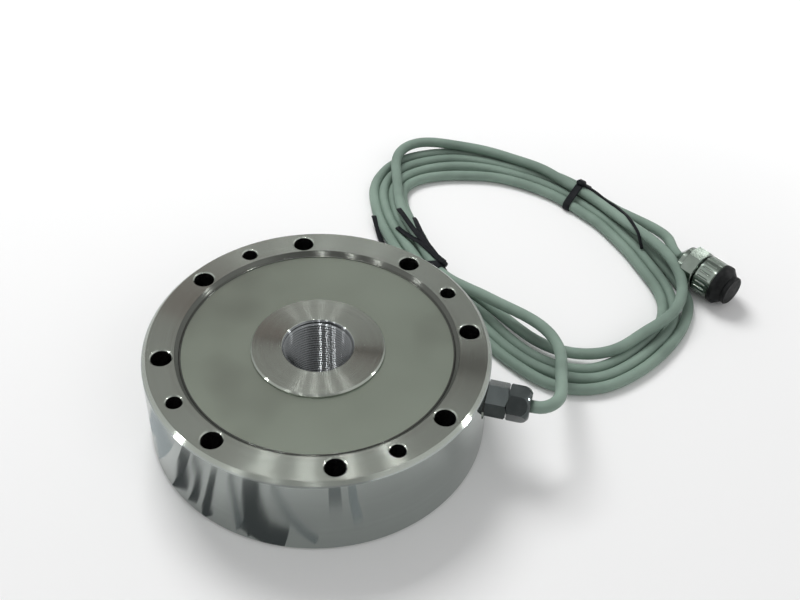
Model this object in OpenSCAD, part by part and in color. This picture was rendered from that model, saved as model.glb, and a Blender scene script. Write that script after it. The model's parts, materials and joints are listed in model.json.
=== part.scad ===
// Low-profile force sensor: a one-piece steel ring, web and hub with sealing
// diaphragms, a hexagonal cable gland, and a coiled cable with a round plug.
// Millimetres. +Z is up, +X leaves through the gland, and the origin is the
// centre of the bottom face.

/* [Sensor body] */
// Outside diameter of the body
body_d = 150; // [130:1:180]
// Height of the body
body_h = 43; // [38:1:56]
// Chamfer round the top outer edge
top_chamfer = 1.9; // [0.5:0.1:2.5]
// Chamfer round the bottom outer edge
foot_chamfer = 1; // [0.3:0.1:2]
// Diameter of the diaphragm seats inside the ring
seat_d = 118; // [112:1:120]
// Depth of each diaphragm's outer face below the ring's face
disc_recess = 2; // [1:0.1:3]
// Thickness of the sealing diaphragms
disc_t = 1; // [0.6:0.1:1.5]
// Radial width of the ledges that carry the diaphragms
ledge_w = 4; // [2:0.5:5]
// Radial clearance round the diaphragms
disc_gap = 0.05; // [0.02:0.01:0.2]

/* [Hub] */
// Outside diameter of the hub
hub_d = 58; // [50:1:60]
// Depth of the hub's top face below the ring's face
hub_drop = 0.4; // [0:0.1:0.8]
// Depth of the hub's bottom face above the ring's foot
hub_lift = 1; // [0:0.1:1.5]
// Chamfer round the hub's faces
hub_chamfer = 0.7; // [0.2:0.1:1]
// Major diameter of the hub's thread
thread_d = 30; // [20:1:36]
// Countersink at both ends of the thread
thread_chamfer = 0.8; // [0.3:0.1:1.5]

/* [Mounting holes] */
// Diameter of the bolt circle
bolt_circle_d = 133; // [131:0.5:136]
// Number of clearance holes
bolt_count = 8; // [4, 8]
// Diameter of the clearance holes
bolt_hole_d = 9; // [6:0.1:9.5]
// Diameter of the four tapped holes
tapped_hole_d = 6.8; // [4:0.1:7]
// Depth of the tapped holes
tapped_hole_depth = 20; // [10:1:25]
// Countersink on the mounting holes
hole_chamfer = 0.5; // [0.2:0.1:0.8]

/* [Measuring web] */
// Number of gauge pockets in each face
pocket_count = 8; // [4, 6, 8]
// Diameter of a gauge pocket
pocket_d = 18; // [12:1:20]
// Thickness of the web between upper and lower pockets
web_t = 6; // [3:0.5:8]
// Depth of the wiring channel under the top diaphragm
channel_depth = 4; // [3.5:0.5:6]
// Depth of the relief above the bottom diaphragm
relief_depth = 2; // [1:0.5:3]
// Length of a strain gauge
gauge_l = 9; // [6:0.5:9.5]
// Width of a strain gauge
gauge_w = 6; // [4:0.5:8]
// Thickness of the wiring board
board_t = 1.6; // [0.8:0.1:2]
// Radial width of the wiring board
board_w = 13; // [10:1:14]

/* [Gland] */
// Height of the gland's axis above the bottom face
gland_z = 31.5; // [28:0.5:32]
// Width across the flats of the gland's hexagons
gland_af = 14; // [13:0.5:16]
// Length of the gland's thread in the body
gland_thread_l = 9; // [6:0.5:10]
// Diameter of the gland's thread
gland_thread_d = 12; // [11:0.5:12]
// Length of the gland body's hexagon
gland_hex_l = 9; // [6:0.5:12]
// Length of the gland nut
gland_nut_l = 9.6; // [8:0.2:14]
// Thickness of the sealing washer under the gland
gland_washer_t = 1; // [0.5:0.1:2]
// Depth of the flat that the gland seats on
port_face_depth = 1; // [0.8:0.1:2]

/* [Cable] */
// Diameter of the cable
cable_d = 5.5; // [5:0.1:5.8]
// Radial clearance of the cable in the gland and the plug
cable_gap = 0.1; // [0.05:0.05:0.2]
// Height of the coil of cable
coil_h = 12.4; // [11:0.2:12.6]
// Thickness of a cable tie's strap
tie_t = 1; // [0.8:0.1:1.4]
// Width of a cable tie's strap
tie_w = 3.2; // [2.4:0.1:4.8]

/* [Plug] */
// Diameter of the coupling ring
coupling_d = 20.4; // [20:0.1:20.6]
// Diameter of the plug's shell
shell_d = 15; // [13:0.1:15.4]
// Number of ribs round the coupling ring
rib_count = 24; // [12, 18, 24, 30]
// Depth of the grooves between the ribs
rib_depth = 0.4; // [0.2:0.1:0.6]
// Largest diameter of the dust cap
cap_d = 20.8; // [20.6:0.1:21.4]
// Diameter of the dust cap's closed end
cap_end_d = 14; // [12:0.1:17]
// Radial running clearance of the coupling ring
coupling_gap = 0.2; // [0.15:0.05:0.3]
// Number of contacts in the plug
contact_count = 6; // [4, 5, 6]

/* [Hidden] */
$fn = 96;
eps = 0.01;

// Body
body_r = body_d / 2;
hub_r = hub_d / 2;
seat_r = seat_d / 2;
thread_r = thread_d / 2;
bolt_r = bolt_circle_d / 2;
top_disc_z = body_h - disc_recess - disc_t;
bottom_disc_z = disc_recess;
channel_z = top_disc_z - channel_depth;
relief_z = disc_recess + disc_t + relief_depth;
channel_in_r = hub_r + ledge_w;
channel_out_r = seat_r - ledge_w;
pocket_pitch_r = (channel_in_r + channel_out_r) / 2;
pocket_r = min(pocket_d / 2, (channel_out_r - channel_in_r) / 2);
web_z = body_h / 2 - web_t / 2;
gauge_t = 0.3;
lead_r = 0.4;
resistor_size = [3.2, 1.6, 1.2];
tapped_angles = [45, 135, 225, 315];

// Gland, along +X from the flat on the body's side
port_x = body_r - port_face_depth;
hex_x = port_x + gland_washer_t;
neck_x = hex_x + gland_hex_l;
nut_x = neck_x + 0.3;
exit_x = nut_x + gland_nut_l;
gland_thread_r = gland_thread_d / 2;
neck_r = gland_af / 2 - 1.6;
seal_r = neck_r - 0.9;
seal_x = neck_x - 2;
seal_l = 5;
claw_l = 2.2;
fit_gap = 0.05;
core_r = 0.5;
core_x = pocket_pitch_r;
cable_r = cable_d / 2;
cable_hole_r = cable_r + cable_gap;
jacket_x = channel_out_r + 2;

// Plug: where the backshell's rear edge lies, and its heading. The other
// values are distances along its axis from there.
plug_pos = [157.5, 136.4, cap_d / 2];
plug_heading = -34.5;
clamp_back = -6;
clamp_waist = -2.5;
clamp_front = 0;
clamp_seal_l = 2.4;
backshell_front = 8;
ring_back = 8.6;
ring_web = 3.4;
ring_step = 18;
ring_front = 20.6;
shell_back = 2;
shell_front = 20.9;
clip_t = 0.8;
cap_back = 18.5;
cap_shoulder = 21.2;
cap_front = 26.8;
cap_wall = 0.8;
clamp_r = shell_d / 2 + 1.2;
backshell_l = backshell_front - clamp_front;
coupling_r = coupling_d / 2;
shell_r = shell_d / 2;
insert_r = shell_r - 1.1;
skirt_r = shell_r + 1.2;
step_r = coupling_r - 0.7;

// The coil's middle line is a rounded outline about its own centre. Each row
// of coil_waves is one wave round it: how many lobes, how high, and where.
coil_centre = [74, 130];
coil_r = 69;
coil_waves = [[2, 19, -38], [3, 2, 37], [4, 3, -40], [5, 2.5, 0]];
coil_half_w = 13;
coil_spread = 3;
coil_spread_at = 105;
coil_pinch = 4;
coil_pinch_angle = 20;
coil_dent = 9;
coil_dent_at = 4;
coil_dent_angle = 10;
coil_bulge = 5;
coil_bulge_at = 140;
coil_bulge_angle = 20;
tie_near_at = 217;
tie_far_at = 70;

// The cable's stretches that are not coiled
lead_route = [[exit_x, 0, gland_z], [96.2, 0, 31.5], [98.8, 0.6, 31.5],
    [101.4, 2.2, 31.4], [103.6, 4.9, 31.1], [105, 8.4, 30.5], [105.4, 12.8, 29.6],
    [105, 18.6, 28], [104.2, 25.8, 25.8], [103.5, 33, 23.6], [102.9, 40, 21.4],
    [101.6, 47, 19.4], [99.2, 54.2, 17.4], [95.2, 60.6, 16.4], [89.8, 65.6, 16],
    [83, 69.6, 15.8], [75, 73, 15.6], [67, 76.2, 15.4], [59, 79.8, 15],
    [51, 84.2, 13.4], [43.6, 89.8, 10.6]];
tail_route = [[118, 178.6, 3.2], [125.8, 174.4, 3.8], [133, 169.6, 5], [139, 164.4, 6.6],
    [143.4, 159, 8.2], [146.2, 153.6, 9.5], [147.6, 148.4, 10.2], [149.6, 143.6, 10.4],
    plug_pos + clamp_back * [cos(plug_heading), sin(plug_heading), 0]];
lead_rings = 60;
tail_rings = 24;
tube_sides = 10;

function unit(v) = v / norm(v);
function polar(r, a) = [r * cos(a), r * sin(a)];

// Radius of the coil's middle line, and half of the coil's width, at an angle
function coil_line(a) =
    coil_r + [for (w = coil_waves) w[1] * cos(w[0] * (a - w[2]))] * [1, 1, 1, 1];
function near_angle(a, at, spread) =
    exp(-pow(((a - at + 540) % 360 - 180) / spread, 2));
function coil_width(a) =
    coil_half_w + coil_spread * cos(2 * (a - coil_spread_at))
    - coil_pinch * near_angle(a, tie_near_at, coil_pinch_angle)
    - coil_pinch * near_angle(a, tie_far_at, coil_pinch_angle);
// The outer side stays clear of the plug
function coil_outer(a) =
    coil_line(a) + coil_width(a) - coil_dent * near_angle(a, coil_dent_at, coil_dent_angle);
// The inner turns cut across the far corner
function coil_inner(a) =
    coil_line(a) - coil_width(a) - coil_bulge * near_angle(a, coil_bulge_at, coil_bulge_angle);

// A point on a smooth curve through the route's points
function route_point(p, t) =
    let (last = len(p) - 1,
        i = min(floor(t * last), last - 1),
        u = t * last - i,
        a = p[max(i - 1, 0)],
        b = p[i],
        c = p[i + 1],
        d = p[min(i + 2, last)])
    0.5 * (2 * b + (c - a) * u + (2 * a - 5 * b + 4 * c - d) * u * u
        + (3 * b - a - 3 * c + d) * u * u * u);

function ring_at(centre, way, r, sides) =
    let (across = unit(cross([0, 0, 1], way)), up = cross(way, across))
    [for (k = [0:sides - 1])
        centre + r * (cos(360 * k / sides) * across + sin(360 * k / sides) * up)];

// A tube swept along a route; its first and last faces are square to its ends
module swept_tube(route, r, rings, sides, first_way, last_way) {
    middle = [for (i = [0:rings]) route_point(route, i / rings)];
    ways = [for (i = [0:rings])
        i == 0 ? first_way
        : i == rings ? last_way
        : unit(middle[i + 1] - middle[i - 1])];
    points = [for (i = [0:rings]) for (q = ring_at(middle[i], ways[i], r, sides)) q];
    walls = [for (i = [0:rings - 1]) for (k = [0:sides - 1])
        let (n = (k + 1) % sides)
        [i * sides + k, (i + 1) * sides + k, (i + 1) * sides + n, i * sides + n]];
    ends = [[for (k = [0:sides - 1]) k],
        [for (k = [sides - 1:-1:0]) rings * sides + k]];
    polyhedron(points, concat(walls, ends), convexity = 8);
}

module tube(r_in, r_out, z_low, z_high) {
    translate([0, 0, z_low])
        difference() {
            cylinder(r = r_out, h = z_high - z_low);
            translate([0, 0, -1])
                cylinder(r = r_in, h = z_high - z_low + 2);
        }
}

module disc(r, z_low, z_high) {
    translate([0, 0, z_low])
        cylinder(r = r, h = z_high - z_low);
}

module cone(r_low, r_high, z_low, z_high) {
    translate([0, 0, z_low])
        cylinder(r1 = r_low, r2 = r_high, h = z_high - z_low);
}

// Turns what stands on +Z so that it points along +X
module along_x() {
    rotate([0, 90, 0])
        children();
}

module at_gland() {
    translate([0, 0, gland_z])
        along_x()
            children();
}

module at_plug() {
    translate(plug_pos)
        rotate([0, 0, plug_heading])
            along_x()
                children();
}

module hexagon(af, z_low, z_high, turn) {
    translate([0, 0, z_low])
        rotate([0, 0, turn])
            cylinder(r = af / 2 / cos(30), h = z_high - z_low, $fn = 6);
}

module round_blank() {
    rotate_extrude($fn = 180)
        polygon([[0, 0], [body_r - foot_chamfer, 0], [body_r, foot_chamfer],
            [body_r, body_h - top_chamfer], [body_r - top_chamfer, body_h], [0, body_h]]);
}

// The annular recess that holds a diaphragm, cut from a face at height 0 upwards
module disc_recess_cut() {
    seat_depth = disc_recess + disc_t;
    difference() {
        union() {
            disc(seat_r, 0, seat_depth + 1);
            cone(seat_r, seat_r + disc_recess + eps, disc_t, seat_depth + eps);
        }
        translate([0, 0, -1])
            cylinder(r = hub_r, h = seat_depth + 3);
    }
}

module sensor_holes() {
    for (i = [0:bolt_count - 1])
        rotate([0, 0, 360 * (i + 0.5) / bolt_count])
            translate([bolt_r, 0, 0]) {
                disc(bolt_hole_d / 2, -1, body_h + 1);
                cone(bolt_hole_d / 2, bolt_hole_d / 2 + hole_chamfer + eps,
                    body_h - hole_chamfer, body_h + eps);
            }
    for (a = tapped_angles)
        rotate([0, 0, a])
            translate([bolt_r, 0, 0]) {
                disc(tapped_hole_d / 2, body_h - tapped_hole_depth, body_h + 1);
                cone(tapped_hole_d / 2, tapped_hole_d / 2 + hole_chamfer + eps,
                    body_h - hole_chamfer, body_h + eps);
            }
}

module hub_cuts() {
    hub_top = body_h - hub_drop;
    disc(hub_r + eps, hub_top, body_h + 1);
    disc(hub_r + eps, -1, hub_lift);
    disc(thread_r, -1, body_h + 1);
    cone(thread_r, thread_r + thread_chamfer + eps, hub_top - thread_chamfer, hub_top + eps);
    cone(thread_r + thread_chamfer + eps, thread_r, hub_lift - eps, hub_lift + thread_chamfer);
    translate([0, 0, hub_top - hub_chamfer])
        hub_edge_cut();
    translate([0, 0, hub_lift + hub_chamfer])
        mirror([0, 0, 1])
            hub_edge_cut();
}

module hub_edge_cut() {
    difference() {
        cylinder(r = hub_r + 1, h = hub_chamfer + 1);
        translate([0, 0, -eps])
            cylinder(r1 = hub_r + eps, r2 = hub_r - hub_chamfer, h = hub_chamfer + 2 * eps);
        translate([0, 0, hub_chamfer])
            cylinder(r = hub_r - hub_chamfer, h = 2);
    }
}

module gland_port() {
    at_gland() {
        disc(gland_af / 2 / cos(30) + 1.5, port_x, body_r + 2);
        disc(gland_thread_r + fit_gap, port_x - gland_thread_l - 1, body_r);
        disc(cable_r + 1, pocket_pitch_r, body_r);
    }
}

module sensor_body() {
    color("#8d958c")
    difference() {
        round_blank();
        translate([0, 0, top_disc_z])
            disc_recess_cut();
        translate([0, 0, bottom_disc_z + disc_t])
            mirror([0, 0, 1])
                disc_recess_cut();
        tube(channel_in_r, channel_out_r, channel_z, top_disc_z + eps);
        tube(channel_in_r, channel_out_r, bottom_disc_z + disc_t - eps, relief_z);
        for (i = [0:pocket_count - 1])
            rotate([0, 0, 360 * i / pocket_count])
                translate([pocket_pitch_r, 0, 0]) {
                    disc(pocket_r, web_z + web_t, channel_z + eps);
                    disc(pocket_r, relief_z - eps, web_z);
                }
        hub_cuts();
        sensor_holes();
        gland_port();
    }
}

module diaphragm(z) {
    tube(hub_r + disc_gap, seat_r - disc_gap, z, z + disc_t, $fn = 180);
}

module top_diaphragm() {
    color("#848c82")
        diaphragm(top_disc_z);
}

module bottom_diaphragm() {
    color("#848c82")
        diaphragm(bottom_disc_z);
}

// A foil gauge bonded to the floor of one upper pocket
module strain_gauge(i) {
    color("#b8863b")
        rotate([0, 0, 360 * (i - 1) / pocket_count])
            translate([pocket_pitch_r, 0, web_z + web_t]) {
                translate([-gauge_l / 2, -gauge_w / 2, 0])
                    cube([gauge_l, gauge_w, gauge_t / 2]);
                translate([-gauge_l / 4, -gauge_w / 3, 0])
                    cube([gauge_l / 2, gauge_w * 2 / 3, gauge_t]);
            }
}

module gauge_leads() {
    color("#c8402f")
        for (i = [0:pocket_count - 1])
            for (side = [-1, 1])
                rotate([0, 0, 360 * i / pocket_count])
                    translate([pocket_pitch_r - gauge_l / 2 + 0.8, side * gauge_w / 4, 0])
                        disc(lead_r, web_z + web_t + gauge_t / 2, channel_z);
}

module wiring_board() {
    color("#2f6b45")
        tube(pocket_pitch_r - board_w / 2, pocket_pitch_r + board_w / 2,
            channel_z, channel_z + board_t);
}

module trim_resistors() {
    color("#2b2b2b")
        for (i = [0:pocket_count - 1])
            rotate([0, 0, 360 * (i + 0.5) / pocket_count])
                translate([pocket_pitch_r - resistor_size[0] / 2,
                    -resistor_size[1] / 2, channel_z + board_t])
                    cube(resistor_size);
}

// Four cores leave the jacket, cross the first pocket and rise to the board
module cable_cores() {
    color("#d9d2c0")
        for (k = [-1.5:1:1.5])
            translate([0, k * 1.25, 0]) {
                translate([core_x, 0, gland_z])
                    along_x()
                        cylinder(r = core_r, h = jacket_x - core_x, $fn = 24);
                translate([core_x, 0, gland_z])
                    sphere(r = core_r, $fn = 24);
                translate([core_x, 0, gland_z])
                    cylinder(r = core_r, h = channel_z - gland_z, $fn = 24);
            }
}

module cable_end() {
    color("#9fb0a0")
        at_gland()
            disc(cable_r, jacket_x, exit_x);
}

module gland_washer() {
    color("#30332f")
        at_gland()
            tube(gland_thread_r + fit_gap, gland_af / 2 - 0.3, port_x, hex_x);
}

module gland_body() {
    corner_r = gland_af / 2 / cos(30);
    color("#7f8378")
        at_gland()
            difference() {
                union() {
                    disc(gland_thread_r, port_x - gland_thread_l, hex_x + 1);
                    intersection() {
                        hexagon(gland_af, hex_x, neck_x, 0);
                        disc(corner_r, hex_x, neck_x - 0.6);
                    }
                    intersection() {
                        hexagon(gland_af, neck_x - 0.6, neck_x, 0);
                        cone(corner_r, corner_r - 1, neck_x - 0.6, neck_x);
                    }
                    disc(neck_r, neck_x - 1, seal_x + seal_l + 0.6);
                }
                disc(cable_hole_r + 0.4, port_x - gland_thread_l - 1, exit_x);
                disc(seal_r, seal_x, exit_x);
            }
}

module gland_seal() {
    color("#3a3d39")
        at_gland()
            tube(cable_hole_r, seal_r - fit_gap, seal_x, seal_x + seal_l);
}

// The slotted clamping insert that the nut presses on the seal
module gland_claw() {
    color("#4a4d48")
        at_gland()
            difference() {
                tube(cable_hole_r, seal_r - fit_gap, seal_x + seal_l, seal_x + seal_l + claw_l);
                for (a = [0:60:300])
                    rotate([0, 0, a])
                        translate([cable_hole_r + 0.3, -0.3, seal_x + seal_l + 0.8])
                            cube([seal_r, 0.6, claw_l]);
            }
}

module gland_nut() {
    flat_l = gland_nut_l * 0.55;
    dome_r = gland_af / 2 / cos(30);
    color("#8c9084")
        at_gland()
            difference() {
                intersection() {
                    hexagon(gland_af, nut_x, exit_x, 22);
                    rotate_extrude()
                        polygon(concat([[0, nut_x], [dome_r - 0.5, nut_x], [dome_r, nut_x + 0.5],
                            [dome_r, nut_x + flat_l]],
                            [for (a = [10:10:70])
                                [cable_hole_r + 1.4 + (dome_r - cable_hole_r - 1.4) * cos(a),
                                    nut_x + flat_l + (gland_nut_l - flat_l) * sin(a) / sin(70)]],
                            [[0, exit_x]]));
                }
                disc(cable_hole_r, nut_x - 1, exit_x + 1);
                disc(neck_r + fit_gap, nut_x - 1, seal_x + seal_l + claw_l + 0.2);
            }
}

module cable_lead() {
    color("#9fb0a0")
        swept_tube(lead_route, cable_r, lead_rings, tube_sides, [1, 0, 0],
            unit(lead_route[len(lead_route) - 1] - lead_route[len(lead_route) - 2]));
}

module cable_tail() {
    color("#9fb0a0")
        swept_tube(tail_route, cable_r, tail_rings, tube_sides,
            unit(tail_route[1] - tail_route[0]),
            [cos(plug_heading), sin(plug_heading), 0]);
}

module cable_coil() {
    color("#9fb0a0")
        difference() {
            translate(coil_centre)
                linear_extrude(coil_h)
                    difference() {
                        polygon([for (a = [0:4:356]) polar(coil_outer(a), a)]);
                        polygon([for (a = [0:4:356]) polar(coil_inner(a), a)]);
                    }
            tie_space(tie_near_at);
            tie_space(tie_far_at);
        }
}

// The way that the coil runs where an angle's ray from its centre meets it
function coil_way(at) =
    let (a = polar(coil_line(at - 1), at - 1), b = polar(coil_line(at + 1), at + 1))
    atan2(b[1] - a[1], b[0] - a[0]);

module at_coil(at) {
    translate(coil_centre)
        translate(polar(coil_line(at), at))
            rotate([0, 0, coil_way(at)])
                children();
}

// Room under the coil for a tie's strap
module tie_space(at) {
    at_coil(at)
        translate([-tie_w / 2 - 0.2, -coil_half_w * 2, -1])
            cube([tie_w + 0.4, coil_half_w * 4, tie_t + 1.2]);
}

function tie_half(at) = coil_width(at) + 1;

// A strap that goes round the coil, with its square lock on the outer side
module tie_strap(at) {
    half = tie_half(at);
    at_coil(at)
        difference() {
            translate([-tie_w / 2, -half - tie_t, 0])
                cube([tie_w, 2 * (half + tie_t), coil_h + 0.4 + tie_t]);
            translate([-tie_w, -half, tie_t])
                cube([2 * tie_w, 2 * half, coil_h + 0.4 - tie_t]);
        }
}

// A loose end of a tie, lying along the top of the coil
module tie_end(at, across, way, length) {
    at_coil(at)
        translate([0, across, coil_h + 0.4 + tie_t])
            rotate([0, 0, way])
                translate([-tie_w / 4, -tie_w / 4, 0])
                    cube([length, tie_w / 2, tie_t]);
}

module tie_near() {
    color("#1c1c1e")
        tie_strap(tie_near_at);
}

module tie_near_ends() {
    color("#1c1c1e") {
        tie_end(tie_near_at, -7, 172, 24);
        tie_end(tie_near_at, 0, 176, 30);
        tie_end(tie_near_at, 6, 184, 26);
    }
}

module tie_far() {
    color("#1c1c1e")
        tie_strap(tie_far_at);
}

module tie_far_end() {
    color("#1c1c1e")
        tie_end(tie_far_at, -6, 172, 32);
}

module clamp_nut() {
    color("#858a82")
        at_plug()
            difference() {
                union() {
                    cone(cable_hole_r + 1.2, clamp_r, clamp_back, clamp_waist);
                    disc(clamp_r, clamp_waist, clamp_front);
                }
                disc(cable_hole_r, clamp_back - 1, clamp_front + 1);
                disc(clamp_r - 2.6, clamp_front - clamp_seal_l, clamp_front + 1);
            }
}

module clamp_seal() {
    color("#3a3d39")
        at_plug()
            tube(cable_hole_r, clamp_r - 2.6 - fit_gap, clamp_front - clamp_seal_l, clamp_front);
}

module backshell() {
    color("#9ca197")
        at_plug()
            difference() {
                intersection() {
                    translate([0, 0, clamp_front])
                        rotate([0, 0, 22.5])
                            cylinder(r = coupling_r / cos(22.5), h = backshell_l, $fn = 8);
                    cone(clamp_r + 0.9, clamp_r + 0.9 + backshell_l * 1.5,
                        clamp_front, backshell_front);
                    cone(clamp_r + 0.9 + backshell_l * 1.5, clamp_r + 0.9,
                        clamp_front, backshell_front);
                }
                disc(insert_r - 1, clamp_front - 1, backshell_front + 1);
                disc(shell_r + fit_gap, shell_back, backshell_front + 1);
            }
}

module plug_shell() {
    color("#9ca197")
        at_plug()
            difference() {
                union() {
                    disc(shell_r, shell_back, shell_front - 0.4);
                    cone(shell_r, shell_r - 0.4, shell_front - 0.4, shell_front);
                }
                disc(insert_r, shell_back + 2, shell_front + 1);
                disc(insert_r - 1, shell_back - 1, shell_front);
                tube(shell_r - 0.5, shell_r + 1, ring_back + ring_web + 0.2,
                    ring_back + ring_web + 0.2 + clip_t + 0.1);
            }
}

module coupling_ring() {
    color("#a9ada4")
        at_plug()
            difference() {
                union() {
                    cone(coupling_r - 0.6, coupling_r, ring_back, ring_back + 0.6);
                    disc(coupling_r, ring_back + 0.6, ring_step);
                    disc(step_r, ring_step, ring_front);
                }
                disc(shell_r + coupling_gap, ring_back - 1, ring_front + 1);
                disc(skirt_r, ring_back + ring_web, ring_front + 1);
                for (i = [0:rib_count - 1])
                    rotate([0, 0, 360 * i / rib_count])
                        translate([coupling_r + rib_depth / 2, 0, ring_back + 1.6])
                            cylinder(r = rib_depth * 1.5, h = ring_step - ring_back - 3.2,
                                $fn = 16);
            }
}

module retaining_clip() {
    color("#6f736c")
        at_plug()
            difference() {
                tube(shell_r - 0.45, shell_r + 0.8, ring_back + ring_web + 0.25,
                    ring_back + ring_web + 0.25 + clip_t);
                translate([0, -1.2, ring_back])
                    cube([shell_r + 3, 2.4, ring_web + 3]);
            }
}

module plug_insert() {
    color("#25272a")
        at_plug()
            difference() {
                disc(insert_r - fit_gap, shell_back + 2, shell_front - 0.6);
                contact_places()
                    disc(0.8, shell_back, shell_front);
            }
}

module contact_places() {
    for (i = [0:contact_count - 1])
        rotate([0, 0, 360 * i / contact_count])
            translate([insert_r * 0.6, 0, 0])
                children();
}

module plug_contacts() {
    color("#c9a04a")
        at_plug()
            contact_places()
                tube(0.45, 0.8 - fit_gap, shell_back + 1.5, shell_front - 1, $fn = 24);
}

module dust_cap() {
    lip_r = cap_end_d / 2 + 0.5;
    color("#17181a")
        at_plug()
            difference() {
                rotate_extrude()
                    polygon([[0, cap_back], [cap_d / 2 - 0.3, cap_back], [cap_d / 2, cap_back + 0.3],
                        [cap_d / 2, cap_shoulder - 0.4], [cap_d / 2 - 0.4, cap_shoulder],
                        [cap_end_d / 2, cap_front - 2.2], [lip_r, cap_front - 1.8],
                        [lip_r, cap_front - 0.5], [lip_r - 0.5, cap_front], [0, cap_front]]);
                disc(cap_d / 2 - cap_wall, cap_back - 1, cap_back + 0.2);
                disc(step_r + 0.1, cap_back - 1, cap_shoulder);
            }
}

sensor_body();
top_diaphragm();
bottom_diaphragm();
for (i = [1:pocket_count])
    strain_gauge(i);
gauge_leads();
wiring_board();
trim_resistors();
cable_cores();
cable_end();
gland_washer();
gland_body();
gland_seal();
gland_claw();
gland_nut();
cable_lead();
cable_coil();
cable_tail();
tie_near();
tie_near_ends();
tie_far();
tie_far_end();
clamp_nut();
clamp_seal();
backshell();
plug_shell();
coupling_ring();
retaining_clip();
plug_insert();
plug_contacts();
dust_cap();
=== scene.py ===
import json
import math

import bmesh
import bpy
import numpy as np
from mathutils import Matrix, Vector


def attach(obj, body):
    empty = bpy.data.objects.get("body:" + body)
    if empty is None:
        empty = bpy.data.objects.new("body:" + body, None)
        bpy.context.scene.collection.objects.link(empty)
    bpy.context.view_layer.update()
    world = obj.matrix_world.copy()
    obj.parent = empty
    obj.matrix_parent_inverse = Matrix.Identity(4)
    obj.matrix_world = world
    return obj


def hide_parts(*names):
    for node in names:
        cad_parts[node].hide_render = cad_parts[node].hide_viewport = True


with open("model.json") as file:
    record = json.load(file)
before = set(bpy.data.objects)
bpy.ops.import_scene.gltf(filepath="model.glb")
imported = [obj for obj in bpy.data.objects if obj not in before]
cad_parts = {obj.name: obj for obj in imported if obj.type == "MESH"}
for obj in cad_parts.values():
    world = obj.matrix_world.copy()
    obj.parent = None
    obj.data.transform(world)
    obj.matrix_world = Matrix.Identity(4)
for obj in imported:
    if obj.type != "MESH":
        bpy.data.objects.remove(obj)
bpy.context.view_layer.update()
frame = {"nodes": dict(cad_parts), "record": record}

MM = 0.001
CABLE_D = 5.5 * MM
CABLE_R = CABLE_D / 2


def mm(points):
    """Points given in millimetres, as an array in metres."""
    return np.array(points, float) * MM


def unit(v):
    return v / np.linalg.norm(v)


def new_object(name, points, faces):
    """An object with its own mesh, in the scene."""
    mesh = bpy.data.meshes.new(name)
    mesh.from_pydata([tuple(p) for p in points], [], faces)
    obj = bpy.data.objects.new(name, mesh)
    bpy.context.scene.collection.objects.link(obj)
    return obj


# Camera: at the photograph's angle. The target is a point on the sensor's top face.
CAMERA_TARGET = Vector((27.4, 36.4, 43)) * MM
CAMERA_AZIMUTH = math.radians(11.75)
CAMERA_ELEVATION = math.radians(43.69)
CAMERA_ROLL = math.radians(2.831)
CAMERA_DISTANCE = 509.7 * MM
CAMERA_LENS = 51.10


def make_camera():
    data = bpy.data.cameras.new("camera")
    data.lens = CAMERA_LENS
    data.sensor_width = 36
    data.clip_start = 0.01
    camera = bpy.data.objects.new("camera", data)
    bpy.context.scene.collection.objects.link(camera)
    back = Vector((
        math.sin(CAMERA_AZIMUTH) * math.cos(CAMERA_ELEVATION),
        -math.cos(CAMERA_AZIMUTH) * math.cos(CAMERA_ELEVATION),
        math.sin(CAMERA_ELEVATION)))
    right = (-back).cross(Vector((0, 0, 1))).normalized()
    up = right.cross(-back)
    c, s = math.cos(CAMERA_ROLL), math.sin(CAMERA_ROLL)
    turn = Matrix((c * right + s * up, -s * right + c * up, back)).transposed()
    camera.matrix_world = (
        Matrix.Translation(CAMERA_TARGET + back * CAMERA_DISTANCE) @ turn.to_4x4())
    bpy.context.scene.camera = camera


make_camera()

# Cable. The free stretches follow the same points as the CAD model's.
PLUG_POS = np.array([157.5, 136.4, 10.4])
PLUG_HEADING = math.radians(-34.5)
PLUG_WAY = np.array([math.cos(PLUG_HEADING), math.sin(PLUG_HEADING), 0])
CLAMP_BACK = -6
LEAD_ROUTE = mm([
    [93.9, 0, 31.5], [96.2, 0, 31.5], [98.8, 0.6, 31.5], [101.4, 2.2, 31.4],
    [103.6, 4.9, 31.1], [105, 8.4, 30.5], [105.4, 12.8, 29.6], [105, 18.6, 28],
    [104.2, 25.8, 25.8], [103.5, 33, 23.6], [102.9, 40, 21.4], [101.6, 47, 19.4],
    [99.2, 54.2, 17.4], [95.2, 60.6, 16.4], [89.8, 65.6, 16], [83, 69.6, 15.8],
    [75, 73, 15.6], [67, 76.2, 15.4], [59, 79.8, 15], [51, 84.2, 13.4],
    [43.6, 89.8, 10.6]])
TAIL_ROUTE = mm([
    [118, 178.6, 3.2], [125.8, 174.4, 3.8], [133, 169.6, 5], [139, 164.4, 6.6],
    [143.4, 159, 8.2], [146.2, 153.6, 9.5], [147.6, 148.4, 10.2], [149.6, 143.6, 10.4],
    PLUG_POS + CLAMP_BACK * PLUG_WAY])

# The coil's middle line, as in the CAD model: millimetres and degrees
COIL_CENTRE = np.array([74, 130])
COIL_R = 69
COIL_WAVES = [[2, 19, -38], [3, 2, 37], [4, 3, -40], [5, 2.5, 0]]
COIL_HALF_W, COIL_SPREAD, COIL_SPREAD_AT = 13, 3, 105
COIL_PINCH, COIL_PINCH_ANGLE = 4, 20
TIE_NEAR_AT, TIE_FAR_AT = 217, 70
FULL_TURNS = 4

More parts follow.
